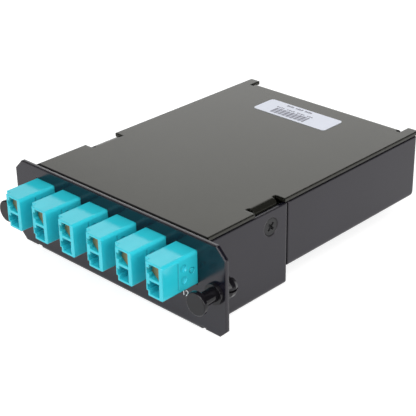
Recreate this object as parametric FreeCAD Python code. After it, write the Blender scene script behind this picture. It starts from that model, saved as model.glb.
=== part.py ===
import FreeCAD, Part
import math
import os

# Fibre cassette: one folded steel tray with its front plate, a flat cover, six two-port
# adapters in the plate, two push-pull plungers in split grommets, a multi-fibre adapter in
# the rear wall and two routing spools inside.
# While it is drawn, x = 0 is the plate's middle, y = 0 its front face and z = 0 the
# underside of the front section; export moves all of it so that the origin is the
# bottom centre of the whole part. +Y points back into the cassette.

Vector = FreeCAD.Vector

# Sheet metal
SHEET = 1.5                 # thickness of tray and cover
BEND_IN = 0.3               # inner radius of a fold
REAR_BEND_IN = 1.25         # inner radius of the fold up into the rear wall
FOLD_GAP = 0.3              # slit between walls that are folded up side by side

# Front plate
PLATE_W = 111.2
PLATE_TOP = 35.9
EAR_BOTTOM = 1.2            # the ears end a little above the fold between them
PLATE_CORNER = 4.1          # leg of the upper corner chamfers
PLATE_FOOT = 2.9            # leg of the lower ones
RELIEF_W = 2.5              # notch at each end of the front fold
RELIEF_H = 0.4

# Tray
EAR_W = 10.75               # plate edge to the outer face of the side wall
FRONT_L = 43.7              # front face of the plate to the rear face of the step
STEP_SLOT = 0.8             # slot between front and rear side walls
STEP_H = 6.9                # the rear floor is this much higher
STEP_RELIEF_L = 2.6
STEP_RELIEF_H = 0.7
STEP_CORNER = 0.8
BODY_L = 123.6              # front face of the plate to the rear face of the tray

# Cover
COVER_TOP = 35.6
COVER_GAP = 0.45            # between the side walls and the cover
COVER_FRONT_GAP = 0.3
COVER_OVERHANG = 1.2        # the rear corners reach past the rear wall
LIP_W = 76.8                # the lip that is folded down at the rear
LIP_GAP = 0.3               # lip to the inner face of the rear wall
LIP_H = 6.5
LIP_NOTCH_W = 1.7
LIP_NOTCH_L = 3.0
WINDOW_FRONT = 26.6
WINDOW_L = 15.9
WINDOW_IN = 4.4             # depth of the window from the side edge
TAB_FRONT = 28.3
TAB_L = 12.4
TAB_BEND_IN = 0.8
TAB_GAP = 0.55              # tab to the inner face of the side wall
TAB_BOTTOM = 19.9

# Side screws, countersunk at 100 degrees
SCREW_Y = 35.1
SCREW_Z = 27.2
SCREW_HEAD_R = 3.35
SCREW_R = 1.75
SCREW_L = 6.0
SCREW_HALF_ANGLE = 50.0
SCREW_SINK = 0.12           # the head lies this much below the wall's face
SCREW_HOLE_GAP = 0.2
CROSS_R = 1.9
CROSS_W = 1.05
CROSS_DEPTH = 1.1
CROSS_TURN = 45.0

# Two-port adapters
ADAPTER_COUNT = 6
ADAPTER_MARGIN_LEFT = 2.0   # left adapter to the outer face of the left side wall
ADAPTER_MARGIN_RIGHT = 2.5  # right adapter to the outer face of the right side wall
ADAPTER_W = 10.2
ADAPTER_H = 13.0
ADAPTER_BOTTOM = 18.05
ADAPTER_OUT = 16.4          # it stands out of the plate this far
ADAPTER_TOP_ROUND = 1.2     # its upper right edge
ADAPTER_LOW_ROUND = 0.6     # its lower right edge
ADAPTER_LEFT_ROUND = 0.2    # its left edges
ADAPTER_FIT = 0.15          # plate opening around the housing
ADAPTER_FLANGE = 1.0        # flange above and below the housing, behind the plate
ADAPTER_FLANGE_T = 2.0
ADAPTER_SEAT_GAP = 0.1
REAR_HALF_L = 7.8
PORT_PITCH = 6.25
PORT_W = 4.6
PORT_H = 5.2
PORT_LEFT = 3.85            # wall left of the ports
KEYWAY_DEPTH = 1.1
KEYWAY_H = 2.3
PORT_DEPTH = 12.5           # front of the housing to its middle wall
MIDDLE_WALL = 2.0
BOSS_R = 1.5
BOSS_L = 3.3
SLEEVE_R = 1.0
SLEEVE_BORE_R = 0.63
SLEEVE_SLIT = 0.3
SLEEVE_FIT = 0.03
SLEEVE_LIP_L = 0.5
SLEEVE_LIP_R = 0.75
CORNER_NOTCH_W = 3.1
CORNER_NOTCH_H = 1.9
CORNER_NOTCH_L = 5.0
LATCH_RECESS_W = 2.3        # the left wall starts this far behind the front, for the latches
LATCH_RECESS_L = 2.1
MARK_DEPTH = 0.35           # groove and ring in the housing's right side
MARK_GROOVE_BACK = 7.2      # front of the housing to the groove
MARK_GROOVE_W = 0.4
MARK_GROOVE_H = 9.8
MARK_DIMPLE_BACK = 9.9
MARK_DIMPLE_R = 1.4
MARK_DIMPLE_SINK = 0.1      # its depth at its front
MARK_DIMPLE_FALL = 0.7      # from there to its rear
MARK_DIMPLE_PITCH = 4.5
MARK_RING_BACK = 13.9
MARK_RING_R = 1.25
MARK_RING_W = 0.3

# Sprung shutter in each upper port, hinged at the port's right wall
SHUTTER_T = 0.2
SHUTTER_IN = 0.5            # front of the housing to the shutter's hinge line
SHUTTER_SIDE_GAP = 0.3      # shutter to the walls beside it
SHUTTER_TOP_GAP = 0.3       # shutter to the port's roof and floor
SHUTTER_FOOT_IN = 0.4       # the foot of its free edge reaches this far into the keyway
SHUTTER_FOOT_GAP = 0.3      # foot to the keyway's lower face
SHUTTER_LEAN = 1.3          # the free edge leans back this much towards the hinge
SHUTTER_SLANT = 16.0        # closed, it slants back from the hinge line

# Plungers and their split grommets
PLUNGER_EDGE = 4.8          # plunger's axis to the plate's side edge
PLUNGER_Z = 17.85
GROMMET_FLANGE_R = 3.9
GROMMET_FLANGE_T = 1.5
GROMMET_R = 3.15
GROMMET_HOLE_GAP = 0.1
GROMMET_L = 8.0             # from the plate's front face
GROMMET_NOSE_L = 1.8
GROMMET_NOSE_R = 2.9        # outer radius at the nose's tip
GROMMET_GRIP = 1.7          # straight barrel behind the plate, for the panel's sheet
GROMMET_BULGE_R = 3.85
GROMMET_BULGE_L = 1.2       # taper from the barrel to the bulge
GROMMET_SLOT_W = 0.8
GROMMET_SLOT_GAP = 0.5      # the slots start this far behind the plate
PLUNGER_HEAD_R = 4.4
PLUNGER_HEAD_T = 1.9
PLUNGER_HEAD_ROUND = 0.4
PLUNGER_OUT = 9.9           # pulled out, the head's face is this far from the plate
PLUNGER_NECK_R = 2.6
PLUNGER_PIN_R = 1.85
PLUNGER_FIT = 0.06
PLUNGER_TRAVEL = 5.5
PLUNGER_NECK_IN = 0.4       # pulled out, the neck still reaches this far into the flange
PLUNGER_PIN_PAST = 0.8      # pulled out, the pin's tip passes the grommet's nose

# Adapter for the multi-fibre plug, in the rear wall
REAR_ADAPTER_Z = 19.9
REAR_ADAPTER_W = 16.8
REAR_ADAPTER_H = 11.6
REAR_ADAPTER_OUT = 12.0
REAR_ADAPTER_IN = 11.2
REAR_ADAPTER_FIT = 0.2
REAR_FLANGE_END = 2.5       # screw's axis to the flange's end
REAR_FLANGE_T = 2.0
REAR_SIDE_WALL = 2.0        # housing's side to the port
REAR_ROOF = 1.9             # housing's top and bottom to the port
REAR_KEY_W = 3.4
REAR_KEY_H = 1.1
REAR_MIDDLE_WALL = 1.0
REAR_WINDOW_W = 7.0         # the two plugs' ferrules meet through this window
REAR_WINDOW_H = 3.0
REAR_SCREW_R = 1.0
REAR_SCREW_WALL = 1.1       # housing's side to the screw's shank
REAR_SCREW_GAP = 0.05
REAR_HEAD_R = 1.9
REAR_HEAD_T = 1.3
REAR_SLOT_W = 0.5
REAR_SLOT_DEPTH = 0.6
REAR_SCREW_L = 5.0

# Routing spools on the rear floor
SPOOL_X = 21.0
SPOOL_Y = 84.0
SPOOL_R = 15.0
SPOOL_WALL = 1.6
SPOOL_H = 16.0
SPOOL_BASE_T = 1.2
SPOOL_FINGER_COUNT = 4
SPOOL_FINGER_W = 7.0
SPOOL_FINGER_L = 4.0
SPOOL_FINGER_T = 1.2
SPOOL_PEG_R = 1.9
SPOOL_PEG_GAP = 0.1
SPOOL_PEG_PITCH = 16.0
SPOOL_PEG_PAST = 0.5

# Label on the cover
LABEL_L = 38.1
LABEL_W = 12.7
LABEL_T = 0.12
LABEL_X = -2.5
LABEL_BACK = 15.8           # label's middle to the lip's rear face
LABEL_ROUND = 1.6

# Values that follow from those above
BEND_OUT = SHEET + BEND_IN
REAR_BEND_OUT = SHEET + REAR_BEND_IN
HALF_W = PLATE_W / 2 - EAR_W
PLUNGER_X = PLATE_W / 2 - PLUNGER_EDGE
WALL_IN = HALF_W - SHEET
COVER_UNDER = COVER_TOP - SHEET
WALL_TOP = COVER_UNDER - COVER_GAP
FLOOR = STEP_H + SHEET
REAR_WALL_IN = BODY_L - SHEET
LIP_Y = REAR_WALL_IN - LIP_GAP
TAB_X = WALL_IN - TAB_GAP
TAB_BEND_OUT = SHEET + TAB_BEND_IN
SCREW_CONE_L = (SCREW_HEAD_R - SCREW_R) / math.tan(math.radians(SCREW_HALF_ANGLE))
ADAPTER_FIRST_X = ADAPTER_MARGIN_LEFT + ADAPTER_W / 2 - HALF_W
ADAPTER_LAST_X = HALF_W - ADAPTER_MARGIN_RIGHT - ADAPTER_W / 2
ADAPTER_PITCH = (ADAPTER_LAST_X - ADAPTER_FIRST_X) / (ADAPTER_COUNT - 1)
ADAPTER_FRONT = -ADAPTER_OUT
ADAPTER_TOP = ADAPTER_BOTTOM + ADAPTER_H
MIDDLE_FRONT = ADAPTER_FRONT + PORT_DEPTH
MIDDLE_BACK = MIDDLE_FRONT + MIDDLE_WALL
FLANGE_FRONT = SHEET + ADAPTER_SEAT_GAP
FLANGE_BACK = FLANGE_FRONT + ADAPTER_FLANGE_T
PORTS_Z = ADAPTER_BOTTOM + ADAPTER_H / 2
LOWER_PORT_Z = PORTS_Z - PORT_PITCH / 2
UPPER_PORT_Z = PORTS_Z + PORT_PITCH / 2
REAR_OUT_Y = BODY_L + REAR_ADAPTER_OUT
REAR_PORT_W = REAR_ADAPTER_W - 2 * REAR_SIDE_WALL
REAR_PORT_H = REAR_ADAPTER_H - 2 * REAR_ROOF
REAR_SCREW_PITCH = REAR_ADAPTER_W + 2 * (REAR_SCREW_R + REAR_SCREW_WALL)
REAR_FLANGE_W = REAR_SCREW_PITCH + 2 * REAR_FLANGE_END
FAR = 200.0                 # longer than the part, for cuts that run right out of it


def box(x0, x1, y0, y1, z0, z1):
    """A box from its six faces."""
    return Part.makeBox(x1 - x0, y1 - y0, z1 - z0, Vector(x0, y0, z0))


def rod_y(radius, x, z, y0, y1):
    """A cylinder along Y."""
    return Part.makeCylinder(radius, y1 - y0, Vector(x, y0, z), Vector(0, 1, 0))


def rod_x(radius, y, z, x0, x1):
    """A cylinder along X."""
    return Part.makeCylinder(radius, x1 - x0, Vector(x0, y, z), Vector(1, 0, 0))


def rod_z(radius, x, y, z0, z1):
    """A cylinder along Z."""
    return Part.makeCylinder(radius, z1 - z0, Vector(x, y, z0), Vector(0, 0, 1))


def prism_y(points, y0, y1):
    """A prism along Y whose outline is a list of (x, z)."""
    corners = [Vector(x, y0, z) for x, z in points]
    face = Part.Face(Part.makePolygon(corners + corners[:1]))
    return face.extrude(Vector(0, y1 - y0, 0))


def mirrored(shape):
    """The same shape on the other side of the plane x = 0."""
    return shape.mirror(Vector(0, 0, 0), Vector(1, 0, 0))


def both_sides(shape):
    """A shape and its mirror image."""
    return [shape, mirrored(shape)]


def cut_all(shape, tools):
    """A shape less a list of shapes."""
    return shape.cut(Part.makeCompound(tools))


def rounded(shape, radius, direction, where):
    """Rounds the straight edges along a direction whose middle passes the test."""
    chosen = []
    for edge in shape.Edges:
        run = edge.lastVertex().Point - edge.firstVertex().Point
        if run.Length > 0 and run.normalize().cross(direction).Length < 1e-6:
            if where(edge.CenterOfMass):
                chosen.append(edge)
    return shape.makeFillet(radius, chosen)


ALONG_X = Vector(1, 0, 0)
ALONG_Y = Vector(0, 1, 0)
ALONG_Z = Vector(0, 0, 1)


def near(value, target):
    return abs(value - target) < 1e-3


def folded_box(inset, y0, y1, z0, z1, side_r, front_r, rear_r):
    """A box as wide as the body less the inset, with its lower edges rounded."""
    half = HALF_W - inset
    wide = box(-half, half, y0, y1, z0, z1)
    wide = rounded(wide, side_r, ALONG_Y, lambda c: near(c.z, z0))
    profile = box(-FAR, FAR, y0, y1, z0, z1)
    if front_r:
        profile = rounded(profile, front_r, ALONG_X, lambda c: near(c.z, z0) and near(c.y, y0))
    if rear_r:
        profile = rounded(profile, rear_r, ALONG_X, lambda c: near(c.z, z0) and near(c.y, y1))
    return wide.common(profile)


def front_section():
    """The deep front section, open at the top, with the plate's middle as its front."""
    outer = folded_box(0, 0, FRONT_L, 0, WALL_TOP, BEND_OUT, BEND_OUT, STEP_CORNER)
    inner = folded_box(SHEET, SHEET, FRONT_L - SHEET, SHEET, FAR, BEND_IN, BEND_IN, 0)
    above_step = box(-WALL_IN, WALL_IN, FRONT_L - 2 * SHEET, FRONT_L + SHEET, FLOOR, FAR)
    slit = box(WALL_IN, HALF_W + SHEET, SHEET, SHEET + FOLD_GAP, -SHEET, FAR)
    return cut_all(outer, [inner, above_step] + both_sides(slit))


def rear_section():
    """The shallower rear section with the rear wall."""
    outer = folded_box(0, FRONT_L - SHEET, BODY_L, STEP_H, WALL_TOP, BEND_OUT, 0, REAR_BEND_OUT)
    inner = folded_box(SHEET, 0, REAR_WALL_IN, FLOOR, FAR, BEND_IN, 0, REAR_BEND_IN)
    seam = box(WALL_IN - FOLD_GAP, WALL_IN, REAR_WALL_IN - SHEET, FAR, STEP_H + REAR_BEND_OUT, FAR)
    return cut_all(outer, [inner] + both_sides(seam))


def step_slots():
    """The slots and the small reliefs where the side walls change depth."""
    slot = box(WALL_IN, FAR, FRONT_L, FRONT_L + STEP_SLOT, STEP_H, FAR)
    relief_end = FRONT_L + STEP_SLOT + STEP_RELIEF_L
    relief = box(HALF_W - BEND_OUT, FAR, FRONT_L, relief_end, 0, STEP_H + STEP_RELIEF_H)
    return both_sides(slot) + both_sides(relief)


def front_plate():
    """The chamfered plate with its ears."""
    half = PLATE_W / 2
    right = [
        (half - PLATE_FOOT, EAR_BOTTOM),
        (half, EAR_BOTTOM + PLATE_FOOT),
        (half, PLATE_TOP - PLATE_CORNER),
        (half - PLATE_CORNER, PLATE_TOP),
    ]
    left = [(-x, z) for x, z in reversed(right)]
    plate = prism_y(right + left, 0, SHEET)
    fold_half = HALF_W - SHEET
    fold_room = box(-fold_half, fold_half, -SHEET, 2 * SHEET, -SHEET, BEND_OUT)
    return plate.cut(fold_room)


def adapter_x(index):
    """Middle of one adapter, counted from the left."""
    return ADAPTER_FIRST_X + index * ADAPTER_PITCH


def port_x(index):
    """Middle of that adapter's ports."""
    return adapter_x(index) - ADAPTER_W / 2 + PORT_LEFT + PORT_W / 2


def adapter_opening(index):
    """The punched opening for one adapter."""
    half = ADAPTER_W / 2 + ADAPTER_FIT
    middle = adapter_x(index)
    low = ADAPTER_BOTTOM - ADAPTER_FIT
    return box(middle - half, middle + half, -SHEET, 2 * SHEET, low, ADAPTER_TOP + ADAPTER_FIT)


def screw_cone(gap):
    """A countersunk head's cone with its shank, larger all round by the gap."""
    face = HALF_W - SCREW_SINK
    middle = Vector(face, SCREW_Y, SCREW_Z)
    cone = Part.makeCone(SCREW_HEAD_R + gap, SCREW_R + gap, SCREW_CONE_L, middle, Vector(-1, 0, 0))
    shank = rod_x(SCREW_R + gap, SCREW_Y, SCREW_Z, HALF_W - SCREW_L, face)
    return cone.fuse(shank)


def tray():
    """The tray and plate, folded from one sheet."""
    shape = front_section().fuse([rear_section(), front_plate()])
    cuts = step_slots()
    relief = box(WALL_IN, WALL_IN + RELIEF_W, -SHEET, SHEET, -SHEET, EAR_BOTTOM + RELIEF_H)
    cuts += both_sides(relief)
    cuts += [adapter_opening(index) for index in range(ADAPTER_COUNT)]
    cuts += both_sides(rod_y(GROMMET_R + GROMMET_HOLE_GAP, PLUNGER_X, PLUNGER_Z, -SHEET, 2 * SHEET))
    mouth = rod_x(SCREW_HEAD_R + SCREW_HOLE_GAP, SCREW_Y, SCREW_Z, HALF_W - SCREW_SINK, HALF_W + SHEET)
    cuts += both_sides(screw_cone(SCREW_HOLE_GAP).fuse(mouth))
    cuts += rear_wall_cuts()
    for x in (-SPOOL_X, SPOOL_X):
        for y in spool_peg_ys():
            cuts.append(rod_z(SPOOL_PEG_R + SPOOL_PEG_GAP, x, y, 0, FLOOR + SHEET))
    return cut_all(shape, cuts).removeSplitter()


def rear_wall_cuts():
    """Opening and screw holes for the rear adapter."""
    half_w = REAR_ADAPTER_W / 2 + REAR_ADAPTER_FIT
    half_h = REAR_ADAPTER_H / 2 + REAR_ADAPTER_FIT
    y0 = REAR_WALL_IN - SHEET
    y1 = BODY_L + SHEET
    cuts = [box(-half_w, half_w, y0, y1, REAR_ADAPTER_Z - half_h, REAR_ADAPTER_Z + half_h)]
    hole = rod_y(REAR_SCREW_R + REAR_SCREW_GAP, REAR_SCREW_PITCH / 2, REAR_ADAPTER_Z, y0, y1)
    return cuts + both_sides(hole)


def cover_tab():
    """The right-hand tab that is folded down inside the side wall."""
    tab_end = TAB_FRONT + TAB_L
    root = HALF_W - WINDOW_IN - SHEET
    outer = box(root, TAB_X, TAB_FRONT, tab_end, TAB_BOTTOM, COVER_TOP)
    outer = rounded(outer, TAB_BEND_OUT, ALONG_Y, lambda c: near(c.z, COVER_TOP) and near(c.x, TAB_X))
    inner_x = TAB_X - SHEET
    inner = box(-FAR, inner_x, -FAR, FAR, 0, COVER_UNDER)
    inner = rounded(inner, TAB_BEND_IN, ALONG_Y, lambda c: near(c.z, COVER_UNDER) and near(c.x, inner_x))
    return outer.cut(inner)


def cover_lip():
    """The lip that is folded down inside the rear wall."""
    half = LIP_W / 2
    outer = box(-half, half, LIP_Y - 2 * BEND_OUT, LIP_Y, COVER_UNDER - LIP_H, COVER_TOP)
    outer = rounded(outer, BEND_OUT, ALONG_X, lambda c: near(c.z, COVER_TOP) and near(c.y, LIP_Y))
    inner_y = LIP_Y - SHEET
    inner = box(-FAR, FAR, 0, inner_y, 0, COVER_UNDER)
    inner = rounded(inner, BEND_IN, ALONG_X, lambda c: near(c.z, COVER_UNDER) and near(c.y, inner_y))
    return outer.cut(inner)


def cover():
    """The flat cover with its two side tabs and its rear lip."""
    front = SHEET + COVER_FRONT_GAP
    rear = BODY_L + COVER_OVERHANG
    panel = box(-HALF_W, HALF_W, front, rear, COVER_UNDER, COVER_TOP)
    half_lip = LIP_W / 2
    notch_out = half_lip + LIP_NOTCH_W
    behind_lip = box(-half_lip, half_lip, LIP_Y - BEND_OUT, FAR, 0, FAR)
    notch = box(half_lip, notch_out, LIP_Y - LIP_NOTCH_L, FAR, 0, FAR)
    window = box(HALF_W - WINDOW_IN, FAR, WINDOW_FRONT, WINDOW_FRONT + WINDOW_L, 0, FAR)
    panel = cut_all(panel, [behind_lip] + both_sides(notch) + both_sides(window))
    shape = panel.fuse(both_sides(cover_tab()) + [cover_lip()])
    holes = both_sides(rod_x(SCREW_R + SCREW_HOLE_GAP, SCREW_Y, SCREW_Z, TAB_X - 2 * SHEET, TAB_X + SHEET))
    return cut_all(shape, holes).removeSplitter()


def side_screw():
    """The right-hand countersunk screw with its cross recess."""
    screw = screw_cone(0)
    face = HALF_W - SCREW_SINK
    bars = []
    for turn in (CROSS_TURN, CROSS_TURN + 90):
        bar = box(face - CROSS_DEPTH, FAR, -CROSS_R, CROSS_R, -CROSS_W / 2, CROSS_W / 2)
        bar.translate(Vector(0, SCREW_Y, SCREW_Z))
        bar.rotate(Vector(0, SCREW_Y, SCREW_Z), ALONG_X, turn)
        bars.append(bar)
    return cut_all(screw, bars)


def side_screws():
    return Part.makeCompound(both_sides(side_screw()))


def cover_label():
    """A thin rounded label on the cover."""
    half_l = LABEL_L / 2
    middle_y = LIP_Y - LABEL_BACK
    y0 = middle_y - LABEL_W / 2
    label = box(LABEL_X - half_l, LABEL_X + half_l, y0, y0 + LABEL_W, COVER_TOP, COVER_TOP + LABEL_T)
    return rounded(label, LABEL_ROUND, ALONG_Z, lambda c: True)


def port_cuts(index, y0, y1):
    """Both ports of one adapter, with their keyways, between two depths."""
    cuts = []
    left = adapter_x(index) - ADAPTER_W / 2 + PORT_LEFT
    for z in (LOWER_PORT_Z, UPPER_PORT_Z):
        cuts.append(box(left, left + PORT_W, y0, y1, z - PORT_H / 2, z + PORT_H / 2))
        cuts.append(box(left - KEYWAY_DEPTH, left, y0, y1, z - KEYWAY_H / 2, z + KEYWAY_H / 2))
    return cuts


def adapter_body(index, y0, y1):
    """The housing's solid outline with its rounded long edges."""
    left = adapter_x(index) - ADAPTER_W / 2
    right = left + ADAPTER_W
    body = box(left, right, y0, y1, ADAPTER_BOTTOM, ADAPTER_TOP)
    body = rounded(body, ADAPTER_LEFT_ROUND, ALONG_Y, lambda c: near(c.x, left))
    for radius, z in ((ADAPTER_LOW_ROUND, ADAPTER_BOTTOM), (ADAPTER_TOP_ROUND, ADAPTER_TOP)):
        body = rounded(body, radius, ALONG_Y, lambda c: near(c.x, right) and near(c.z, z))
    return body


def side_marks(index):
    """Groove, two sloping dimples and a ring in the housing's right side."""
    face = adapter_x(index) + ADAPTER_W / 2
    deep = face - MARK_DEPTH
    groove_y = ADAPTER_FRONT + MARK_GROOVE_BACK
    half_h = MARK_GROOVE_H / 2
    marks = [box(deep, FAR, groove_y, groove_y + MARK_GROOVE_W, PORTS_Z - half_h, PORTS_Z + half_h)]
    dimple_y = ADAPTER_FRONT + MARK_DIMPLE_BACK
    slope = math.degrees(math.asin(MARK_DIMPLE_FALL / (2 * MARK_DIMPLE_R)))
    floor = face - MARK_DIMPLE_SINK
    for side in (-1, 1):
        z = PORTS_Z + side * MARK_DIMPLE_PITCH / 2
        dimple = rod_x(MARK_DIMPLE_R, dimple_y, z, floor, face + 2 * MARK_DIMPLE_R)
        dimple.rotate(Vector(floor, dimple_y - MARK_DIMPLE_R, z), ALONG_Z, slope)
        marks.append(dimple)
    ring_y = ADAPTER_FRONT + MARK_RING_BACK
    ring = rod_x(MARK_RING_R, ring_y, PORTS_Z, deep, FAR)
    core = rod_x(MARK_RING_R - MARK_RING_W, ring_y, PORTS_Z, deep, FAR)
    marks.append(ring.cut(core))
    return marks


def adapter_front(index):
    """The front half: two ports, the flange behind the plate, the bosses for the sleeves."""
    left = adapter_x(index) - ADAPTER_W / 2
    body = adapter_body(index, ADAPTER_FRONT, FLANGE_BACK)
    low = ADAPTER_BOTTOM - ADAPTER_FLANGE
    high = ADAPTER_TOP + ADAPTER_FLANGE
    body = body.fuse(box(left, left + ADAPTER_W, FLANGE_FRONT, FLANGE_BACK, low, high))
    cuts = port_cuts(index, -FAR, MIDDLE_FRONT) + port_cuts(index, MIDDLE_BACK, FAR)
    notch_top = ADAPTER_BOTTOM + CORNER_NOTCH_H
    notch_end = ADAPTER_FRONT + CORNER_NOTCH_L
    cuts.append(box(-FAR, left + CORNER_NOTCH_W, -FAR, notch_end, 0, notch_top))
    cuts.append(box(-FAR, left + LATCH_RECESS_W, -FAR, ADAPTER_FRONT + LATCH_RECESS_L, 0, FAR))
    body = cut_all(body, cuts + side_marks(index))
    x = port_x(index)
    lip_end = MIDDLE_FRONT - BOSS_L + SLEEVE_LIP_L
    for z in (LOWER_PORT_Z, UPPER_PORT_Z):
        body = body.fuse(rod_y(BOSS_R, x, z, MIDDLE_FRONT - BOSS_L, MIDDLE_BACK + BOSS_L))
    bores = []
    for z in (LOWER_PORT_Z, UPPER_PORT_Z):
        bores.append(rod_y(SLEEVE_LIP_R, x, z, MIDDLE_FRONT - 2 * BOSS_L, FAR))
        bores.append(rod_y(SLEEVE_R + SLEEVE_FIT, x, z, lip_end, FAR))
    return cut_all(body, bores).removeSplitter()


def adapter_rear(index):
    """The rear half, joined to the flange, with the ports for the plugs inside."""
    rear_end = FLANGE_BACK + REAR_HALF_L
    body = adapter_body(index, FLANGE_BACK, rear_end)
    return cut_all(body, port_cuts(index, -FAR, FAR))


def adapter_sleeves(index):
    """The two split ceramic sleeves of one adapter."""
    x = port_x(index)
    y0 = MIDDLE_FRONT - BOSS_L + SLEEVE_LIP_L + SLEEVE_FIT
    y1 = MIDDLE_BACK + BOSS_L
    sleeves = []
    for z in (LOWER_PORT_Z, UPPER_PORT_Z):
        sleeve = rod_y(SLEEVE_R, x, z, y0, y1)
        bore = rod_y(SLEEVE_BORE_R, x, z, y0, y1)
        slit = box(x - SLEEVE_SLIT / 2, x + SLEEVE_SLIT / 2, y0, y1, z, z + 2 * SLEEVE_R)
        sleeves.append(cut_all(sleeve, [bore, slit]))
    return Part.makeCompound(sleeves)


def shutter(index):
    """The bronze shutter in one upper port, closed: it narrows from the hinge to its free edge."""
    hinge_x = port_x(index) + PORT_W / 2 - SHUTTER_SIDE_GAP
    reach = PORT_W - SHUTTER_SIDE_GAP + SHUTTER_FOOT_IN
    foot = reach / math.cos(math.radians(SHUTTER_SLANT))
    foot_z = UPPER_PORT_Z - KEYWAY_H / 2 + SHUTTER_FOOT_GAP
    low = UPPER_PORT_Z - PORT_H / 2 + SHUTTER_TOP_GAP
    high = UPPER_PORT_Z + PORT_H / 2 - SHUTTER_TOP_GAP
    outline = [(0, low), (0, high), (SHUTTER_LEAN - foot, high), (-foot, foot_z)]
    leaf = prism_y(outline, -SHUTTER_T / 2, SHUTTER_T / 2)
    leaf.rotate(Vector(0, 0, 0), ALONG_Z, -SHUTTER_SLANT)
    leaf.translate(Vector(hinge_x, ADAPTER_FRONT + SHUTTER_IN, 0))
    return leaf


def turned(profile):
    """A solid turned about the right-hand plunger's axis from a list of (radius, y)."""
    corners = [Vector(PLUNGER_X + radius, y, PLUNGER_Z) for radius, y in profile]
    face = Part.Face(Part.makePolygon(corners + corners[:1]))
    return face.revolve(Vector(PLUNGER_X, 0, PLUNGER_Z), ALONG_Y, 360)


def grommet():
    """The right-hand grommet: flange, barrel, slotted bulge and tapered nose."""
    neck_bore = PLUNGER_NECK_R + PLUNGER_FIT
    pin_bore = PLUNGER_PIN_R + PLUNGER_FIT
    nose_start = GROMMET_L - GROMMET_NOSE_L
    grip_end = SHEET + GROMMET_GRIP
    body = turned([
        (neck_bore, -GROMMET_FLANGE_T),
        (GROMMET_FLANGE_R, -GROMMET_FLANGE_T),
        (GROMMET_FLANGE_R, 0),
        (GROMMET_R, 0),
        (GROMMET_R, grip_end),
        (GROMMET_BULGE_R, grip_end + GROMMET_BULGE_L),
        (GROMMET_BULGE_R, nose_start),
        (GROMMET_NOSE_R, GROMMET_L),
        (pin_bore, GROMMET_L),
        (pin_bore, nose_start),
        (neck_bore, nose_start),
    ])
    slots = []
    slot_start = SHEET + GROMMET_SLOT_GAP
    for turn in (0, 90):
        slot = box(-FAR, FAR, slot_start, FAR, -GROMMET_SLOT_W / 2, GROMMET_SLOT_W / 2)
        slot.rotate(Vector(0, 0, 0), ALONG_Y, turn)
        slot.translate(Vector(PLUNGER_X, 0, PLUNGER_Z))
        slots.append(slot)
    return cut_all(body, slots)


def plunger():
    """The right-hand plunger, pulled out: head, neck and pin."""
    head_front = -PLUNGER_OUT
    head_back = head_front + PLUNGER_HEAD_T
    neck_end = PLUNGER_NECK_IN - GROMMET_FLANGE_T
    tip = GROMMET_L + PLUNGER_PIN_PAST
    body = turned([
        (0, head_front),
        (PLUNGER_HEAD_R, head_front),
        (PLUNGER_HEAD_R, head_back),
        (PLUNGER_NECK_R, head_back),
        (PLUNGER_NECK_R, neck_end),
        (PLUNGER_PIN_R, neck_end),
        (PLUNGER_PIN_R, tip),
        (0, tip),
    ])
    rims = []
    for edge in body.Edges:
        if near(edge.BoundBox.XLength, 2 * PLUNGER_HEAD_R):
            rims.append(edge)
    return body.makeFillet(PLUNGER_HEAD_ROUND, rims)


def rear_adapter():
    """Adapter for a multi-fibre plug: a passage with a middle wall and a key slot."""
    z = REAR_ADAPTER_Z
    half_w = REAR_ADAPTER_W / 2
    half_h = REAR_ADAPTER_H / 2
    inner_end = BODY_L - REAR_ADAPTER_IN
    body = box(-half_w, half_w, inner_end, REAR_OUT_Y, z - half_h, z + half_h)
    half_f = REAR_FLANGE_W / 2
    body = body.fuse(box(-half_f, half_f, BODY_L, BODY_L + REAR_FLANGE_T, z - half_h, z + half_h))
    half_p = REAR_PORT_W / 2
    top = z + REAR_PORT_H / 2
    middle = (inner_end + REAR_OUT_Y) / 2
    cuts = []
    for y0, y1 in ((-FAR, middle - REAR_MIDDLE_WALL / 2), (middle + REAR_MIDDLE_WALL / 2, FAR)):
        cuts.append(box(-half_p, half_p, y0, y1, z - REAR_PORT_H / 2, top))
        cuts.append(box(-REAR_KEY_W / 2, REAR_KEY_W / 2, y0, y1, top, top + REAR_KEY_H))
    window_w = REAR_WINDOW_W / 2
    window_h = REAR_WINDOW_H / 2
    cuts.append(box(-window_w, window_w, -FAR, FAR, z - window_h, z + window_h))
    hole = rod_y(REAR_SCREW_R + REAR_SCREW_GAP, REAR_SCREW_PITCH / 2, z, BODY_L - SHEET, REAR_OUT_Y)
    return cut_all(body, cuts + both_sides(hole)).removeSplitter()


def rear_adapter_screws():
    """The two slotted screws that hold the rear adapter."""
    x = REAR_SCREW_PITCH / 2
    seat = BODY_L + REAR_FLANGE_T
    top = seat + REAR_HEAD_T
    head = rod_y(REAR_HEAD_R, x, REAR_ADAPTER_Z, seat, top)
    shank = rod_y(REAR_SCREW_R, x, REAR_ADAPTER_Z, seat - REAR_SCREW_L, seat)
    slot = box(x - FAR, x + FAR, top - REAR_SLOT_DEPTH, FAR, -REAR_SLOT_W / 2, REAR_SLOT_W / 2)
    slot.translate(Vector(0, 0, REAR_ADAPTER_Z))
    return Part.makeCompound(both_sides(head.fuse(shank).cut(slot)))


def spool_peg_ys():
    """Depths of a spool's two pegs."""
    return (SPOOL_Y - SPOOL_PEG_PITCH / 2, SPOOL_Y + SPOOL_PEG_PITCH / 2)


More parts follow.
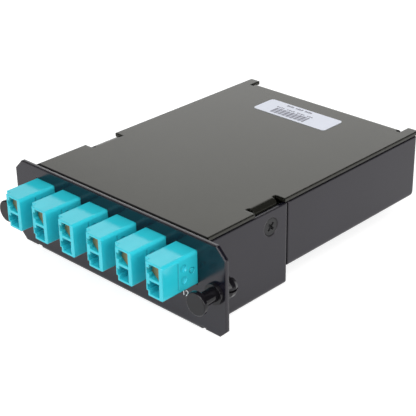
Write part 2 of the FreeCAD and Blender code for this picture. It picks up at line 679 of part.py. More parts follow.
def fibre_spool(x):
    """A routing spool: base, round wall, fingers at the top, two pegs through the floor."""
    wall_in = SPOOL_R - SPOOL_WALL
    top = FLOOR + SPOOL_H
    body = rod_z(SPOOL_R, x, SPOOL_Y, FLOOR, top)
    body = body.cut(rod_z(wall_in, x, SPOOL_Y, FLOOR + SPOOL_BASE_T, top))
    for count in range(SPOOL_FINGER_COUNT):
        half = SPOOL_FINGER_W / 2
        root = wall_in + SPOOL_WALL / 2
        finger = box(root, SPOOL_R + SPOOL_FINGER_L, -half, half, top - SPOOL_FINGER_T, top)
        finger.rotate(Vector(0, 0, 0), ALONG_Z, 360 * (count + 0.5) / SPOOL_FINGER_COUNT)
        finger.translate(Vector(x, SPOOL_Y, 0))
        body = body.fuse(finger)
    for y in spool_peg_ys():
        body = body.fuse(rod_z(SPOOL_PEG_R, x, y, STEP_H - SPOOL_PEG_PAST, FLOOR + SPOOL_BASE_T / 2))
    return body.removeSplitter()


def all_parts():
    """Every node's name with its shape."""
    parts = {
        "tray": tray(),
        "cover": cover(),
        "side_screws": side_screws(),
        "cover_label": cover_label(),
        "grommet_right": grommet(),
        "grommet_left": mirrored(grommet()),
        "plunger_right": plunger(),
        "plunger_left": mirrored(plunger()),
        "rear_adapter": rear_adapter(),
        "rear_adapter_screws": rear_adapter_screws(),
        "fibre_spool_left": fibre_spool(-SPOOL_X),
        "fibre_spool_right": fibre_spool(SPOOL_X),
    }
    for index in range(ADAPTER_COUNT):
        number = index + 1
        parts[f"adapter_front_{number}"] = adapter_front(index)
        parts[f"adapter_rear_{number}"] = adapter_rear(index)
        parts[f"adapter_sleeves_{number}"] = adapter_sleeves(index)
        parts[f"shutter_{number}"] = shutter(index)
    return parts


def main():
    os.makedirs("parts", exist_ok=True)
    origin_y = (ADAPTER_FRONT + REAR_OUT_Y) / 2
    for name, shape in all_parts().items():
        shape.translate(Vector(0, -origin_y, 0))
        shape.exportStep(f"parts/{name}.step")
        print(name, len(shape.Solids), shape.isValid(), round(shape.Volume, 2))


main()
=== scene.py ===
import math

import bmesh
import bpy
from bpy.props import FloatProperty, FloatVectorProperty, IntProperty, PointerProperty
from mathutils import Matrix, Vector


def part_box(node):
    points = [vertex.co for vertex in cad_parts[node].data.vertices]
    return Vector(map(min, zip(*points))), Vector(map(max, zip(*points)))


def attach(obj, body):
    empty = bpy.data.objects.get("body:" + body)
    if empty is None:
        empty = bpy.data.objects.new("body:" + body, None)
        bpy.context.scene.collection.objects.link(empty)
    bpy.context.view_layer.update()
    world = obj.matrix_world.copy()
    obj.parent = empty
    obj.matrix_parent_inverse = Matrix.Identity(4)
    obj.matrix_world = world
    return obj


bl_info = {
    "name": "Fibre Cassette Finish",
    "version": (1, 0, 0),
    "blender": (4, 5, 0),
    "location": "3D View > Sidebar > Cassette",
    "description": "Paint, mouldings, prints and studio stage for a fibre cassette",
    "category": "Object",
}

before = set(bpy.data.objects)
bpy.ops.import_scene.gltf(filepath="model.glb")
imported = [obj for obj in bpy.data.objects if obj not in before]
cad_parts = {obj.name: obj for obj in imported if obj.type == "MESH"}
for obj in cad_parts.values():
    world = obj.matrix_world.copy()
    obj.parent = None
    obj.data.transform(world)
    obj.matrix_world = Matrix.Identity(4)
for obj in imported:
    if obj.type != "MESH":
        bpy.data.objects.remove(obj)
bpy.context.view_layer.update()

MM = 0.001
X, Y, Z = range(3)
CASSETTE = "cassette"


# ---------------------------------------------------------------- places in the frame

def names_starting(prefix):
    """CAD nodes with a name that starts so, in order."""
    return sorted(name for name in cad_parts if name.startswith(prefix))


ADAPTERS = names_starting("adapter_front_")


def span(node, axis):
    """Lowest and highest place of a node along one axis."""
    low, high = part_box(node)
    return low[axis], high[axis]


def middle(node, axis):
    """Place halfway along a node on one axis."""
    low, high = span(node, axis)
    return (low + high) / 2


PLATE_FRONT = span("tray", Y)[0]
COVER_FRONT = span("cover", Y)[0]


# ---------------------------------------------------------------- properties

def colour_property(name, description, default):
    return FloatVectorProperty(
        name=name, description=description, default=(*default, 1.0),
        subtype="COLOR", size=4, min=0.0, max=1.0,
    )


def length_property(name, description, default):
    return FloatProperty(
        name=name, description=description, default=default, unit="LENGTH", precision=5
    )


def place_property(name, description, default):
    return FloatVectorProperty(
        name=name, description=description, default=default, size=3, unit="LENGTH"
    )


def direction_property(name, description, default):
    return FloatVectorProperty(
        name=name, description=description, default=default, size=3, subtype="DIRECTION"
    )


def share_property(name, description, default):
    return FloatProperty(
        name=name, description=description, default=default, min=0.0, max=1.0, subtype="FACTOR"
    )


def angle_property(name, description, degrees):
    return FloatProperty(
        name=name, description=description, default=math.radians(degrees), subtype="ANGLE"
    )


def lens_property(name, description, default):
    return FloatProperty(
        name=name, description=description, default=default, min=1.0, unit="CAMERA"
    )


def power_property(name, description, default):
    return FloatProperty(
        name=name, description=description, default=default, min=0.0, unit="POWER"
    )


def strength_property(name, description, default):
    return FloatProperty(name=name, description=description, default=default, min=0.0)


class SheetPaint(bpy.types.PropertyGroup):
    """Powder coat on the folded tray and its cover, and the side screws' black."""

    tray: colour_property("Tray", "Colour of the coat on tray and plate", (0.0036, 0.0033, 0.0078))
    tray_light: colour_property(
        "Tray, light", "Lighter patches of that coat", (0.0056, 0.0051, 0.0105)
    )
    tray_sheen: colour_property("Tray sheen", "Tint of the tray's gloss", (1.0, 0.96, 1.0))
    # Painted highlight: a lighter line with full gloss along the tray's edges stands in for the
    # light that the edges catch
    edge_highlight: colour_property(
        "Rubbed edges", "Colour of the tray where edges are rubbed", (0.03, 0.027, 0.025)
    )
    edge_highlight_reach: length_property("Rub", "Reach of the rubbed line from an edge of the tray", 0.3 * MM)
    cover: colour_property("Cover", "Colour of the coat on the cover", (0.007, 0.007, 0.0055))
    cover_light: colour_property(
        "Cover, light", "Lighter patches of the cover's coat", (0.010, 0.010, 0.008)
    )
    cover_sheen: colour_property("Cover sheen", "Tint of the cover's gloss", (0.945, 0.935, 0.80))
    # Painted shade: a near-black line with almost no gloss along the cover's edges stands in for
    # the shade at its bends and gaps
    cover_edge_shade: colour_property(
        "Cover edges", "Colour of the cover at its edges", (0.002, 0.002, 0.002)
    )
    cover_shade_reach: length_property(
        "Cover line", "Reach of the dull line from an edge of the cover", 0.95 * MM
    )
    cover_shade_gloss: share_property("Cover line's gloss", "Gloss that is left in that line", 0.02)
    # Painted shade: a dark strip with little gloss along the cover's front edge, behind the plate,
    # stands in for the shade in the gap there
    seam: length_property("Seam", "Depth of the cover's dull strip behind the plate", 1.45 * MM)
    roughness: share_property("Roughness", "Roughness of the coat", 0.19)
    shine: share_property("Gloss", "Strength of the coat's gloss", 0.555)
    grain: length_property("Grain", "Size of the coat's orange peel", 0.45 * MM)
    edge: length_property("Edge", "Radius of the coat over an edge", 1.05 * MM)
    gap: length_property("Gap", "Gaps up to about this width look dark", 0.9 * MM)
    screw: colour_property("Screws", "Black finish of the side screws", (0.02, 0.02, 0.021))


class Mouldings(bpy.types.PropertyGroup):
    """Plastic, ceramic, bronze and steel pieces."""

    aqua: colour_property("Adapters", "Colour of the adapter housings", (0.024, 0.545, 0.655))
    aqua_light: colour_property(
        "Adapters, light", "Lighter flow marks in the housings", (0.032, 0.575, 0.685)
    )
    nylon: colour_property("Nylon", "Colour of plungers and grommets", (0.005, 0.0045, 0.006))
    rear: colour_property("Rear adapter", "Colour of the rear adapter", (0.02, 0.02, 0.021))
    spool: colour_property("Spools", "Colour of the routing spools", (0.25, 0.25, 0.25))
    ceramic: colour_property("Sleeves", "Colour of the ceramic sleeves", (0.78, 0.77, 0.73))
    bronze: colour_property("Shutters", "Colour of the bronze shutters", (0.33, 0.24, 0.11))
    steel: colour_property(
        "Rear screws", "Colour of the rear adapter's screws", (0.55, 0.55, 0.56)
    )
    edge: length_property("Edge", "Radius of a moulded edge", 0.2 * MM)
    housing_edge: length_property(
        "Housing edge", "Radius of an adapter housing's edges", 0.4 * MM
    )


class LabelPrint(bpy.types.PropertyGroup):
    """The print on the cover's label, with bars and lines that say nothing."""

    film: colour_property("Film", "Colour of the label", (0.72, 0.75, 0.84))
    ink: colour_property("Ink", "Colour of the print", (0.10, 0.10, 0.13))
    thickness: length_property("Thickness", "Height of the print over the film", 0.015 * MM)
    bars: IntProperty(name="Bars", description="Bars in the bar field", default=34, min=1)


class PortNumbers(bpy.types.PropertyGroup):
    """Numbers printed on the plate beside the lower ports."""

    ink: colour_property("Ink", "Colour of the numbers", (0.85, 0.85, 0.86))
    height: length_property("Height", "Height of a figure", 2.4 * MM)
    right: length_property(
        "Right edge", "Right edge of a number past its adapter's middle", 0.8 * MM
    )
    base: length_property("Base line", "Base line over the plate's lower edge", 11.0 * MM)
    thickness: length_property("Thickness", "Height of the print over the paint", 0.03 * MM)


class Stage(bpy.types.PropertyGroup):
    """Camera, lamps, surroundings and floor."""

    azimuth: angle_property("Azimuth", "Camera's turn round the part", 44.25)
    elevation: angle_property("Elevation", "Camera above the horizon", 26.82)
    roll: angle_property("Roll", "Camera's turn about its own axis", -1.06)
    distance: length_property("Distance", "Camera to the point that it looks at", 0.47772)
    target: place_property(
        "Target", "Point that the camera looks at", (-0.01049, 0.0004, 0.00666)
    )
    focal: lens_property("Focal length", "Lens of the camera, in millimetres", 101.8)
    sensor: lens_property("Sensor", "Width of the camera's sensor, in millimetres", 36.0)
    world: strength_property("World", "Strength of the plain white surroundings", 0.62)
    mirrored: strength_property("Mirrored surroundings", "Strength that glossy surfaces see", 1.34)
    right_screen: direction_property(
        "Right screen", "Where the dark screen on the right stands", (0.45, 0.64, 0.62)
    )
    left_screen: direction_property(
        "Left screen", "Where the dark screen on the left stands", (-0.670, -0.344, 0.657)
    )
    screen_edge: angle_property("Screen edge", "Half angle of a screen", 60.0)
    screen_core: share_property("Screen core", "Share of that angle that is wholly dark", 0.65)
    screen_light: strength_property("Screen light", "Strength on a screen", 0.05)
    key: power_property("Key lamp", "Power of the lamp above and in front", 1.8)
    front: power_property("Front lamp", "Power of the low lamp in front", 3.4)
    fill: power_property("Fill lamp", "Power of the lamp on the right", 1.8)
    floor: colour_property("Floor", "Colour of the floor", (0.55, 0.55, 0.55))
    floor_seen: strength_property("Floor as seen", "White added to the floor for the eye", 0.76)
    floor_mirrored: strength_property(
        "Floor as mirrored", "White added to the floor in reflections", 0.45
    )


# ---------------------------------------------------------------- node helpers

WHITE = (1.0, 1.0, 1.0, 1.0)

# Most of a noise lies between these two values
NOISE_RANGE = (0.3, 0.7)
# Bands of a noise over which one colour gives way to another
WIDE_BAND = (0.3, 0.7)
CLOUD_BAND = (0.35, 0.65)
NARROW_BAND = (0.4, 0.6)

# Rays that feel for an edge and for the sky over a gap
EDGE_SAMPLES = 6
SKY_SAMPLES = 8
# Cosines of the turn at which an edge's line starts and is full
LINE_STARTS, LINE_FULL = 0.99, 0.85
# Shares of open sky at which gloss is gone and is full
SKY_SHUT, SKY_OPEN = 0.35, 0.85
# Half the width over which the painted shade strip fades
SHADE_STRIP_FADE = 0.15 * MM
# Height of the finest relief on painted and moulded faces
RELIEF = 0.01 * MM

# A mix node's colour sockets share their names with its number sockets
MIX_COLOUR_A, MIX_COLOUR_B, MIX_COLOUR_RESULT = 6, 7, 2


def new_material(name):
    """A material with one principled shader, given with its node tree and shader."""
    material = bpy.data.materials.new(name)
    material.use_nodes = True
    tree = material.node_tree
    tree.nodes.clear()
    shader = tree.nodes.new("ShaderNodeBsdfPrincipled")
    output = tree.nodes.new("ShaderNodeOutputMaterial")
    tree.links.new(shader.outputs["BSDF"], output.inputs["Surface"])
    return material, tree, shader


def feed(tree, socket, value):
    """Links an output to the socket, or sets the socket to a plain value."""
    if isinstance(value, bpy.types.NodeSocket):
        tree.links.new(value, socket)
    else:
        socket.default_value = value


def calculated(tree, operation, *values):
    """The result of one sum on outputs and plain numbers."""
    node = tree.nodes.new("ShaderNodeMath")
    node.operation = operation
    for socket, value in zip(node.inputs, values):
        feed(tree, socket, value)
    return node.outputs["Value"]


def likeness(tree, first, second):
    """The cosine of the angle between two directions."""
    node = tree.nodes.new("ShaderNodeVectorMath")
    node.operation = "DOT_PRODUCT"
    feed(tree, node.inputs[0], first)
    feed(tree, node.inputs[1], second)
    return node.outputs["Value"]


def spread(tree, value, start, end, low=0.0, high=1.0, fade="LINEAR"):
    """Goes from low to high, and no further, while the value goes from start to end."""
    node = tree.nodes.new("ShaderNodeMapRange")
    node.interpolation_type = fade
    feed(tree, node.inputs["Value"], value)
    node.inputs["From Min"].default_value = start
    node.inputs["From Max"].default_value = end
    node.inputs["To Min"].default_value = low
    node.inputs["To Max"].default_value = high
    return node.outputs["Result"]


def mixed(tree, factor, first, second):
    """One number that gives way to another as the factor grows."""
    node = tree.nodes.new("ShaderNodeMix")
    feed(tree, node.inputs["Factor"], factor)
    feed(tree, node.inputs["A"], first)
    feed(tree, node.inputs["B"], second)
    return node.outputs["Result"]


def mixed_colour(tree, factor, first, second):
    """One colour that gives way to another as the factor grows."""
    node = tree.nodes.new("ShaderNodeMix")
    node.data_type = "RGBA"
    feed(tree, node.inputs["Factor"], factor)
    feed(tree, node.inputs[MIX_COLOUR_A], first)
    feed(tree, node.inputs[MIX_COLOUR_B], second)
    return node.outputs[MIX_COLOUR_RESULT]


def between(tree, noise, band, first, second):
    """Two colours mixed as the noise goes through the band."""
    ramp = tree.nodes.new("ShaderNodeValToRGB")
    for stop, place, colour in zip(ramp.color_ramp.elements, band, (first, second)):
        stop.position = place
        stop.color = colour
    tree.links.new(noise, ramp.inputs["Fac"])
    return ramp.outputs["Color"]


def object_noise(tree, size, detail=2.0, squeeze=(1.0, 1.0, 1.0)):
    """Noise in the part's own space with features of about this size, in metres.

    Squeezed by more than one along an axis, they are shorter along it, and longer by less.
    """
    place = tree.nodes.new("ShaderNodeTexCoord")
    scaled = tree.nodes.new("ShaderNodeMapping")
    scaled.inputs["Scale"].default_value = squeeze
    noise = tree.nodes.new("ShaderNodeTexNoise")
    noise.inputs["Scale"].default_value = 1.0 / size
    noise.inputs["Detail"].default_value = detail
    tree.links.new(place.outputs["Object"], scaled.inputs["Vector"])
    tree.links.new(scaled.outputs["Vector"], noise.inputs["Vector"])
    return noise.outputs["Fac"]


def seen_in_gloss(tree, rays):
    """One for a mirrored or refracted ray, nothing for the others."""
    mirrored = rays.outputs["Is Glossy Ray"]
    refracted = rays.outputs["Is Transmission Ray"]
    return calculated(tree, "MAXIMUM", mirrored, refracted)


def rounded_normal(tree, radius):
    """The normal of a face whose edges are rounded to this radius."""
    edge = tree.nodes.new("ShaderNodeBevel")
    edge.samples = EDGE_SAMPLES
    edge.inputs["Radius"].default_value = radius
    return edge.outputs["Normal"]


def soft_edges(tree, shader, radius, heights, strength, depth=RELIEF):
    """Edges that catch the light as rounded ones do, with a fine relief on top."""
    relief = tree.nodes.new("ShaderNodeBump")
    relief.inputs["Strength"].default_value = strength
    relief.inputs["Distance"].default_value = depth
    tree.links.new(heights, relief.inputs["Height"])
    tree.links.new(rounded_normal(tree, radius), relief.inputs["Normal"])
    tree.links.new(relief.outputs["Normal"], shader.inputs["Normal"])


def edge_line(tree, reach):
    """One along the outer and inner edges, nothing on the faces between them."""
    face = tree.nodes.new("ShaderNodeNewGeometry")
    same = likeness(tree, rounded_normal(tree, reach), face.outputs["True Normal"])
    return spread(tree, same, LINE_STARTS, LINE_FULL)


def shade_strip_mask(tree, place):
    """One in front of this place along the Y axis, nothing behind it; it masks a painted shade
    strip.
    """
    object_place = tree.nodes.new("ShaderNodeTexCoord")
    parts = tree.nodes.new("ShaderNodeSeparateXYZ")
    tree.links.new(object_place.outputs["Object"], parts.inputs["Vector"])
    return spread(tree, parts.outputs["Y"], place + SHADE_STRIP_FADE, place - SHADE_STRIP_FADE)


def gloss_shaded_in_gaps(tree, reach, shine):
    """Strength of gloss, taken away in narrow gaps and deep corners as painted shade."""
    sky = tree.nodes.new("ShaderNodeAmbientOcclusion")
    sky.samples = SKY_SAMPLES
    sky.inputs["Distance"].default_value = reach
    return spread(tree, sky.outputs["AO"], SKY_SHUT, SKY_OPEN, 0.0, shine)


# ---------------------------------------------------------------- finishes

# Sizes of the coat's clouds of colour and patches of gloss
COAT_CLOUDS, COAT_PATCHES = 22 * MM, 3 * MM
# Sizes of a moulding's flow marks, patches of gloss and grains of its skin
FLOW_MARKS, MOULD_PATCHES, MOULD_SKIN = 6 * MM, 1.6 * MM, 0.18 * MM
FLOW_ALONG_Y = (1.0, 0.35, 1.0)
# Size and depth of the lines in drawn metal
DRAWN_LINES, DRAWN_DEPTH = 0.25 * MM, 0.005 * MM


def uneven(tree, noise, roughness, less, more):
    """Roughness that goes with the noise between a little less and a little more."""
    return spread(tree, noise, *NOISE_RANGE, roughness - less, roughness + more)


def powder_coat(name, dark, light, sheen, coat, line_colour, line_shine, line_width, seam=None):
    """Satin powder coat: faint cloudy colour, orange peel and uneven gloss.

    A line along the edges has its own colour, share of the gloss and width, with which it paints a
    highlight or a shade there. So has the painted shade strip in front of a given place, where one
    is given.
    """
    material, tree, shader = new_material(name)
    # The edge line paints a highlight on the tray and shade on the cover; the strip joined to it
    # is painted shade
    line = edge_line(tree, line_width)
    if seam is not None:
        line = calculated(tree, "MAXIMUM", line, shade_strip_mask(tree, seam))
    clouds = between(tree, object_noise(tree, COAT_CLOUDS, detail=3.0), CLOUD_BAND, dark, light)
    feed(tree, shader.inputs["Base Color"], mixed_colour(tree, line, clouds, line_colour))
    patches = object_noise(tree, COAT_PATCHES)
    satin = uneven(tree, patches, coat.roughness, less=0.015, more=0.02)
    feed(tree, shader.inputs["Roughness"], satin)
    kept = spread(tree, line, 0.0, 1.0, 1.0, line_shine)
    # Painted shade: gloss is taken away in gaps and corners
    gloss = calculated(tree, "MULTIPLY", kept, gloss_shaded_in_gaps(tree, coat.gap, coat.shine))
    feed(tree, shader.inputs["Specular IOR Level"], gloss)
    shader.inputs["Specular Tint"].default_value = sheen
    soft_edges(tree, shader, coat.edge, object_noise(tree, coat.grain, detail=1.5), strength=0.05)
    return material


def moulded(name, dark, light, roughness, edge, relief, shine=0.5):
    """Moulded plastic: flow marks, a fine spark-eroded skin and slightly uneven gloss."""
    material, tree, shader = new_material(name)
    flow = object_noise(tree, FLOW_MARKS, squeeze=FLOW_ALONG_Y)
    feed(tree, shader.inputs["Base Color"], between(tree, flow, CLOUD_BAND, dark, light))
    patches = object_noise(tree, MOULD_PATCHES, detail=1.0)
    skin_gloss = uneven(tree, patches, roughness, less=0.03, more=0.03)
    feed(tree, shader.inputs["Roughness"], skin_gloss)
    shader.inputs["Specular IOR Level"].default_value = shine
    soft_edges(tree, shader, edge, object_noise(tree, MOULD_SKIN, detail=1.0), strength=relief)
    return material


def drawn_metal(name, colour, roughness, squeeze, edge):
    """Bare metal with fine drawn lines, which lie across the squeezed axis."""
    material, tree, shader = new_material(name)
    marks = object_noise(tree, DRAWN_LINES, detail=3.0, squeeze=squeeze)
    drawn = between(tree, marks, WIDE_BAND, tinted(colour, 0.8), colour)
    feed(tree, shader.inputs["Base Color"], drawn)
    line_gloss = uneven(tree, marks, roughness, less=0.05, more=0.07)
    feed(tree, shader.inputs["Roughness"], line_gloss)
    shader.inputs["Metallic"].default_value = 1.0
    soft_edges(tree, shader, edge, marks, strength=0.06, depth=DRAWN_DEPTH)
    return material


def tinted(colour, share):
    """A colour made lighter or darker."""
    return [channel * share for channel in colour[:3]] + [1.0]


def paint(material, *nodes):
    """Gives the material to whole CAD nodes."""
    for node in nodes:
        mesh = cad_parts[node].data
        mesh.materials.clear()
        mesh.materials.append(material)


# ---------------------------------------------------------------- pieces

def add_block(mesh, low, high):
    """Adds one closed block to a bmesh."""
    size = [high[axis] - low[axis] for axis in (X, Y, Z)]
    centre = [(high[axis] + low[axis]) / 2 for axis in (X, Y, Z)]
    place = Matrix.Translation(centre) @ Matrix.Diagonal((*size, 1.0))
    bmesh.ops.create_cube(mesh, size=1.0, matrix=place)


def printed_piece(name, data, ink, place):
    """Puts a print in its place, in its ink, as a piece that rides on the cassette."""
    data.materials.append(ink)
    piece = bpy.data.objects.new(name, data)
    bpy.context.scene.collection.objects.link(piece)
    piece.matrix_world = place
    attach(piece, CASSETTE)


# ---------------------------------------------------------------- operators

class CASSETTE_OT_sheet(bpy.types.Operator):
    """Coats the tray and the cover"""

    bl_idname = "cassette.sheet"
    bl_label = "Coat the Sheet Metal"

    def execute(self, context):
        coat = context.scene.cassette_sheet
        # The tray's edge line is a painted highlight.
        tray = powder_coat(
            "tray_coat", coat.tray, coat.tray_light, coat.tray_sheen, coat,
            line_colour=coat.edge_highlight, line_shine=1.0, line_width=coat.edge_highlight_reach,
        )
        # The cover's edge line and its strip behind the plate are painted shade.
        cover = powder_coat(
            "cover_coat", coat.cover, coat.cover_light, coat.cover_sheen, coat,
            line_colour=coat.cover_edge_shade, line_shine=coat.cover_shade_gloss, line_width=coat.cover_shade_reach,
            seam=COVER_FRONT + coat.seam,
        )
        paint(tray, "tray")
        paint(cover, "cover")
        return {"FINISHED"}


class CASSETTE_OT_screws(bpy.types.Operator):
    """Finishes the side screws and the rear adapter's screws"""

    bl_idname = "cassette.screws"
    bl_label = "Finish the Screws"

    def execute(self, context):
        coat = context.scene.cassette_sheet
        parts = context.scene.cassette_mouldings
        black = moulded(
            "side_screw_black", coat.screw, tinted(coat.screw, 1.4),
            roughness=0.36, edge=0.12 * MM, relief=0.1, shine=0.25,
        )
        steel = drawn_metal(
            "rear_screw_steel", parts.steel, roughness=0.3, squeeze=(1.0, 1.0, 6.0), edge=0.1 * MM
        )
        paint(black, "side_screws")
        paint(steel, "rear_adapter_screws")
        return {"FINISHED"}


class CASSETTE_OT_adapters(bpy.types.Operator):
    """Finishes the six adapters with their sleeves and shutters"""

    bl_idname = "cassette.adapters"
    bl_label = "Finish the Adapters"

    def execute(self, context):
        parts = context.scene.cassette_mouldings
        aqua = moulded(
            "adapter_aqua", parts.aqua, parts.aqua_light,
            roughness=0.16, edge=parts.housing_edge, relief=0.03, shine=0.6,
        )
        ceramic = moulded(
            "sleeve_ceramic", tinted(parts.ceramic, 0.93), parts.ceramic,
            roughness=0.15, edge=0.05 * MM, relief=0.01,
        )
        bronze = drawn_metal(
            "shutter_bronze", parts.bronze,
            roughness=0.42, squeeze=(1.0, 1.0, 5.0), edge=0.05 * MM,
        )
        paint(aqua, *ADAPTERS, *names_starting("adapter_rear_"))
        paint(ceramic, *names_starting("adapter_sleeves_"))
        paint(bronze, *names_starting("shutter_"))
        return {"FINISHED"}


class CASSETTE_OT_plungers(bpy.types.Operator):
    """Finishes the plungers and their grommets"""

    bl_idname = "cassette.plungers"
    bl_label = "Finish the Plungers"

    def execute(self, context):
        parts = context.scene.cassette_mouldings
        glossy = moulded(
            "plunger_nylon", parts.nylon, tinted(parts.nylon, 1.5),
            roughness=0.1, edge=parts.edge, relief=0.02, shine=0.34,
        )
        satin = moulded(
            "grommet_nylon", parts.nylon, tinted(parts.nylon, 1.6),
            roughness=0.2, edge=parts.edge, relief=0.05, shine=0.34,
        )
        paint(glossy, *names_starting("plunger_"))
        paint(satin, *names_starting("grommet_"))
        return {"FINISHED"}


class CASSETTE_OT_hidden(bpy.types.Operator):
    """Finishes the rear adapter and the routing spools"""

    bl_idname = "cassette.hidden"
    bl_label = "Finish the Rear and Inside"

    def execute(self, context):
        parts = context.scene.cassette_mouldings
        rear = moulded(
            "rear_adapter_black", parts.rear, tinted(parts.rear, 1.5),
            roughness=0.42, edge=parts.edge, relief=0.12,
        )
        spool = moulded(
            "spool_grey", parts.spool, tinted(parts.spool, 1.15),
            roughness=0.5, edge=parts.edge, relief=0.12,
        )
        paint(rear, "rear_adapter")
        paint(spool, *names_starting("fibre_spool_"))
        return {"FINISHED"}


class CASSETTE_OT_label(bpy.types.Operator):
    """Finishes the label and prints bars and lines on it"""

    bl_idname = "cassette.label"
    bl_label = "Print the Label"

    # Shares of the label's length and width
    BAR_FIELD = {"start": 0.215, "end": 0.685, "low": 0.10, "high": 0.50}
    SMALL_LINE = {"start": 0.19, "end": 0.70, "low": 0.555, "high": 0.62, "dashes": 18}
    LARGE_LINE = {"start": 0.26, "end": 0.64, "low": 0.81, "high": 0.91, "dashes": 15}
    # Share of its pitch that the narrowest bar fills, what each wider one adds, and their widths
    NARROW_BAR, WIDER_BAR, BAR_WIDTHS = 0.3, 0.17, 4
    # Dashes from one gap between words to the next, and the share of its pitch that a dash fills
    WORD, DASH = 5, 0.72
    # Share of its height that every second dash lacks
    SHORT_DASH = 0.25
    # Sizes of the film's clouds and of its fine relief, and the radius of its edges
    FILM_CLOUDS, FILM_RELIEF, FILM_EDGE = 9 * MM, 0.3 * MM, 0.05 * MM
    # Least and most roughness of the film
    FILM_ROUGHNESS = (0.4, 0.5)

    def execute(self, context):
        style = context.scene.cassette_label
        paint(self.film(style), "cover_label")
        ink = moulded(
            "label_ink", style.ink, tinted(style.ink, 1.6),
            roughness=0.5, edge=0.01 * MM, relief=0.02,
        )
        printed_piece("label_print", self.print_mesh(style), ink, Matrix.Identity(4))
        return {"FINISHED"}

    def film(self, style):
        """Pale satin film with faint clouds of colour and gloss."""
        film, tree, shader = new_material("label_film")
        clouds = object_noise(tree, self.FILM_CLOUDS)
        pale = between(tree, clouds, WIDE_BAND, tinted(style.film, 0.97), style.film)
        feed(tree, shader.inputs["Base Color"], pale)
        satin = spread(tree, clouds, *NOISE_RANGE, *self.FILM_ROUGHNESS)
        feed(tree, shader.inputs["Roughness"], satin)
        relief = object_noise(tree, self.FILM_RELIEF)
        soft_edges(tree, shader, self.FILM_EDGE, relief, strength=0.05)
        return film

    def print_mesh(self, style):
        """Bars of four widths, with a line of small dashes and one of larger dashes over them."""
        left, right = span("cover_label", X)
        front, back = span("cover_label", Y)
        top = span("cover_label", Z)[1]
        length = right - left
        width = back - front
        mesh = bmesh.new()

        def strip(start, end, low, high):
            """A printed strip between shares of the label's length and width."""
            corner = (left + start * length, front + low * width, top)
            far = (left + end * length, front + high * width, top + style.thickness)
            add_block(mesh, corner, far)

        self.bars(strip, style.bars, **self.BAR_FIELD)
        self.line(strip, **self.SMALL_LINE)
        self.line(strip, **self.LARGE_LINE)
        data = bpy.data.meshes.new("label_print")
        mesh.to_mesh(data)
        mesh.free()
        return data

    def bars(self, strip, count, start, end, low, high):
        """A row of bars whose widths go round from the widest to the narrowest."""
        pitch = (end - start) / count
        for bar in range(count):
            wider = self.BAR_WIDTHS - 1 - bar % self.BAR_WIDTHS
            place = start + bar * pitch
            strip(place, place + pitch * (self.NARROW_BAR + self.WIDER_BAR * wider), low, high)

    def line(self, strip, start, end, low, high, dashes):
        """A line of dashes with gaps like those between words."""
        pitch = (end - start) / dashes
        for dash in range(dashes):
            if dash % self.WORD != self.WORD - 1:
                place = start + dash * pitch
                top = high - (high - low) * self.SHORT_DASH * (dash % 2)
                strip(place, place + pitch * self.DASH, low, top)


class CASSETTE_OT_numbers(bpy.types.Operator):
    """Prints a number on the plate beside each lower port"""

    bl_idname = "cassette.numbers"
    bl_label = "Print the Port Numbers"

    # Height of a figure as a share of the font's size
    FIGURE_SHARE = 0.7
    # What the strokes gain on each side, as a share of a figure's height
    STROKE_GAIN = 0.01

    def execute(self, context):
        style = context.scene.cassette_numbers
        ink = moulded(
            "number_ink", tinted(style.ink, 0.95), style.ink,
            roughness=0.45, edge=0.02 * MM, relief=0.02,
        )
        upright = Matrix.Rotation(math.pi / 2, 4, "X")
        depth = PLATE_FRONT - style.thickness / 2
        for number, adapter in enumerate(ADAPTERS, start=1):
            figures = bpy.data.curves.new(f"port_number_{number}", "FONT")
            figures.body = str(2 * number)
            figures.size = style.height / self.FIGURE_SHARE
            figures.align_x = "RIGHT"
            figures.extrude = style.thickness / 2
            figures.offset = style.height * self.STROKE_GAIN
            corner = Vector((middle(adapter, X) + style.right, depth, style.base))
            printed_piece(figures.name, figures, ink, Matrix.Translation(corner) @ upright)
        return {"FINISHED"}


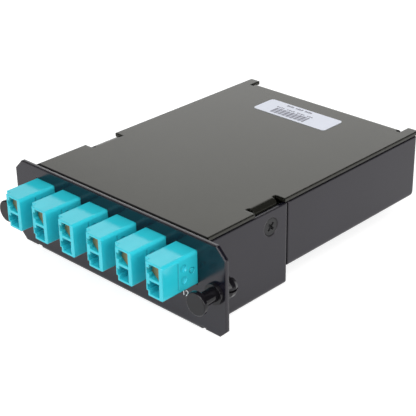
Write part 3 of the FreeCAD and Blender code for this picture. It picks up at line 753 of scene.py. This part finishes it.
class CASSETTE_OT_stage(bpy.types.Operator):
    """Sets the floor, the lamps, the surroundings and the camera"""

    bl_idname = "cassette.stage"
    bl_label = "Set the Stage"

    # Place and side of each lamp, in metres
    KEY = {"place": (0.28, -0.42, 0.62), "side": 0.5}
    FRONT = {"place": (-0.05, -0.95, 0.28), "side": 0.5}
    FILL = {"place": (0.62, -0.1, 0.25), "side": 0.4}
    # The floor's half side, its drop below the part and the size of its faint clouds
    FLOOR_HALF = 3.0
    FLOOR_DROP = 0.1 * MM
    FLOOR_CLOUDS = 0.3
    # Distance from the camera at which it starts to see
    NEAREST_SEEN = 0.01

    def execute(self, context):
        stage = context.scene.cassette_stage
        context.scene.view_settings.view_transform = "Standard"
        self.surroundings(context, stage)
        self.floor(context, stage)
        self.lamp(context, "key_lamp", stage.key, **self.KEY)
        self.lamp(context, "front_lamp", stage.front, **self.FRONT)
        self.lamp(context, "fill_lamp", stage.fill, **self.FILL)
        self.camera(context, stage)
        return {"FINISHED"}

    def surroundings(self, context, stage):
        """White all round, and two dark screens that only gloss shows."""
        world = bpy.data.worlds.new("white_surroundings")
        world.use_nodes = True
        context.scene.world = world
        tree = world.node_tree
        light = tree.nodes["Background"]
        light.inputs["Color"].default_value = WHITE
        place = tree.nodes.new("ShaderNodeTexCoord")
        rays = tree.nodes.new("ShaderNodeLightPath")
        near_screens = [
            likeness(tree, place.outputs["Generated"], Vector(screen).normalized())
            for screen in (stage.right_screen, stage.left_screen)
        ]
        mirrored = spread(
            tree, calculated(tree, "MAXIMUM", *near_screens),
            math.cos(stage.screen_edge), math.cos(stage.screen_edge * stage.screen_core),
            stage.mirrored, stage.screen_light, fade="SMOOTHSTEP",
        )
        given = mixed(tree, seen_in_gloss(tree, rays), stage.world, mirrored)
        shown = mixed(tree, rays.outputs["Is Camera Ray"], given, 1.0)
        feed(tree, light.inputs["Strength"], shown)

    def floor(self, context, stage):
        """A wide white floor that keeps a faint shadow."""
        half = self.FLOOR_HALF
        data = bpy.data.meshes.new("floor")
        corners = [(-half, -half, 0), (half, -half, 0), (half, half, 0), (-half, half, 0)]
        data.from_pydata(corners, [], [(0, 1, 2, 3)])
        data.materials.append(self.floor_white(stage))
        floor = bpy.data.objects.new("floor", data)
        floor.location.z = -self.FLOOR_DROP
        context.scene.collection.objects.link(floor)

    def floor_white(self, stage):
        """Matt white that adds some light of its own where it is seen or mirrored."""
        material, tree, shader = new_material("white_floor")
        clouds = object_noise(tree, self.FLOOR_CLOUDS)
        pale = between(tree, clouds, NARROW_BAND, tinted(stage.floor, 0.99), stage.floor)
        feed(tree, shader.inputs["Base Color"], pale)
        shader.inputs["Roughness"].default_value = 0.9
        shader.inputs["Specular IOR Level"].default_value = 0.1
        rays = tree.nodes.new("ShaderNodeLightPath")
        seen = calculated(tree, "MULTIPLY", rays.outputs["Is Camera Ray"], stage.floor_seen)
        gloss = seen_in_gloss(tree, rays)
        added = calculated(tree, "MULTIPLY_ADD", gloss, stage.floor_mirrored, seen)
        shader.inputs["Emission Color"].default_value = WHITE
        feed(tree, shader.inputs["Emission Strength"], added)
        return material

    def lamp(self, context, name, power, place, side):
        """A square soft lamp that points at the part."""
        data = bpy.data.lights.new(name, "AREA")
        data.size = side
        data.energy = power
        lamp = bpy.data.objects.new(name, data)
        lamp.location = place
        lamp.rotation_euler = (-Vector(place)).to_track_quat("-Z", "Y").to_euler()
        context.scene.collection.objects.link(lamp)

    def camera(self, context, stage):
        """A long lens from the right, in front and above."""
        data = bpy.data.cameras.new("camera")
        data.lens = stage.focal
        data.sensor_width = stage.sensor
        data.clip_start = self.NEAREST_SEEN
        camera = bpy.data.objects.new("camera", data)
        context.scene.collection.objects.link(camera)
        level = math.cos(stage.elevation)
        sight = Vector((
            -math.sin(stage.azimuth) * level,
            math.cos(stage.azimuth) * level,
            -math.sin(stage.elevation),
        ))
        turn = sight.to_track_quat("-Z", "Y").to_matrix().to_4x4()
        place = Vector(stage.target) - sight * stage.distance
        roll = Matrix.Rotation(stage.roll, 4, "Z")
        camera.matrix_world = Matrix.Translation(place) @ turn @ roll
        context.scene.camera = camera


class CASSETTE_PT_panel(bpy.types.Panel):
    """Lists the steps and the values that can be changed."""

    bl_idname = "CASSETTE_PT_panel"
    bl_label = "Fibre Cassette"
    bl_space_type = "VIEW_3D"
    bl_region_type = "UI"
    bl_category = "Cassette"

    def draw(self, context):
        for step in STEPS:
            self.layout.operator(step.bl_idname)
        for name in GROUPS:
            group = getattr(context.scene, name)
            box = self.layout.box()
            for prop in group.bl_rna.properties:
                if prop.identifier not in ("rna_type", "name"):
                    box.prop(group, prop.identifier)


STEPS = (
    CASSETTE_OT_sheet,
    CASSETTE_OT_screws,
    CASSETTE_OT_adapters,
    CASSETTE_OT_plungers,
    CASSETTE_OT_hidden,
    CASSETTE_OT_label,
    CASSETTE_OT_numbers,
    CASSETTE_OT_stage,
)
GROUPS = {
    "cassette_sheet": SheetPaint,
    "cassette_mouldings": Mouldings,
    "cassette_label": LabelPrint,
    "cassette_numbers": PortNumbers,
    "cassette_stage": Stage,
}


def register():
    for group in GROUPS.values():
        bpy.utils.register_class(group)
    for name, group in GROUPS.items():
        setattr(bpy.types.Scene, name, PointerProperty(type=group))
    for step in STEPS:
        bpy.utils.register_class(step)
    bpy.utils.register_class(CASSETTE_PT_panel)


def unregister():
    bpy.utils.unregister_class(CASSETTE_PT_panel)
    for step in reversed(STEPS):
        bpy.utils.unregister_class(step)
    for name in GROUPS:
        delattr(bpy.types.Scene, name)
    for group in GROUPS.values():
        bpy.utils.unregister_class(group)


def main():
    register()
    bpy.ops.cassette.sheet()
    bpy.ops.cassette.screws()
    bpy.ops.cassette.adapters()
    bpy.ops.cassette.plungers()
    bpy.ops.cassette.hidden()
    bpy.ops.cassette.label()
    bpy.ops.cassette.numbers()
    bpy.ops.cassette.stage()


if __name__ == "__main__":
    main()
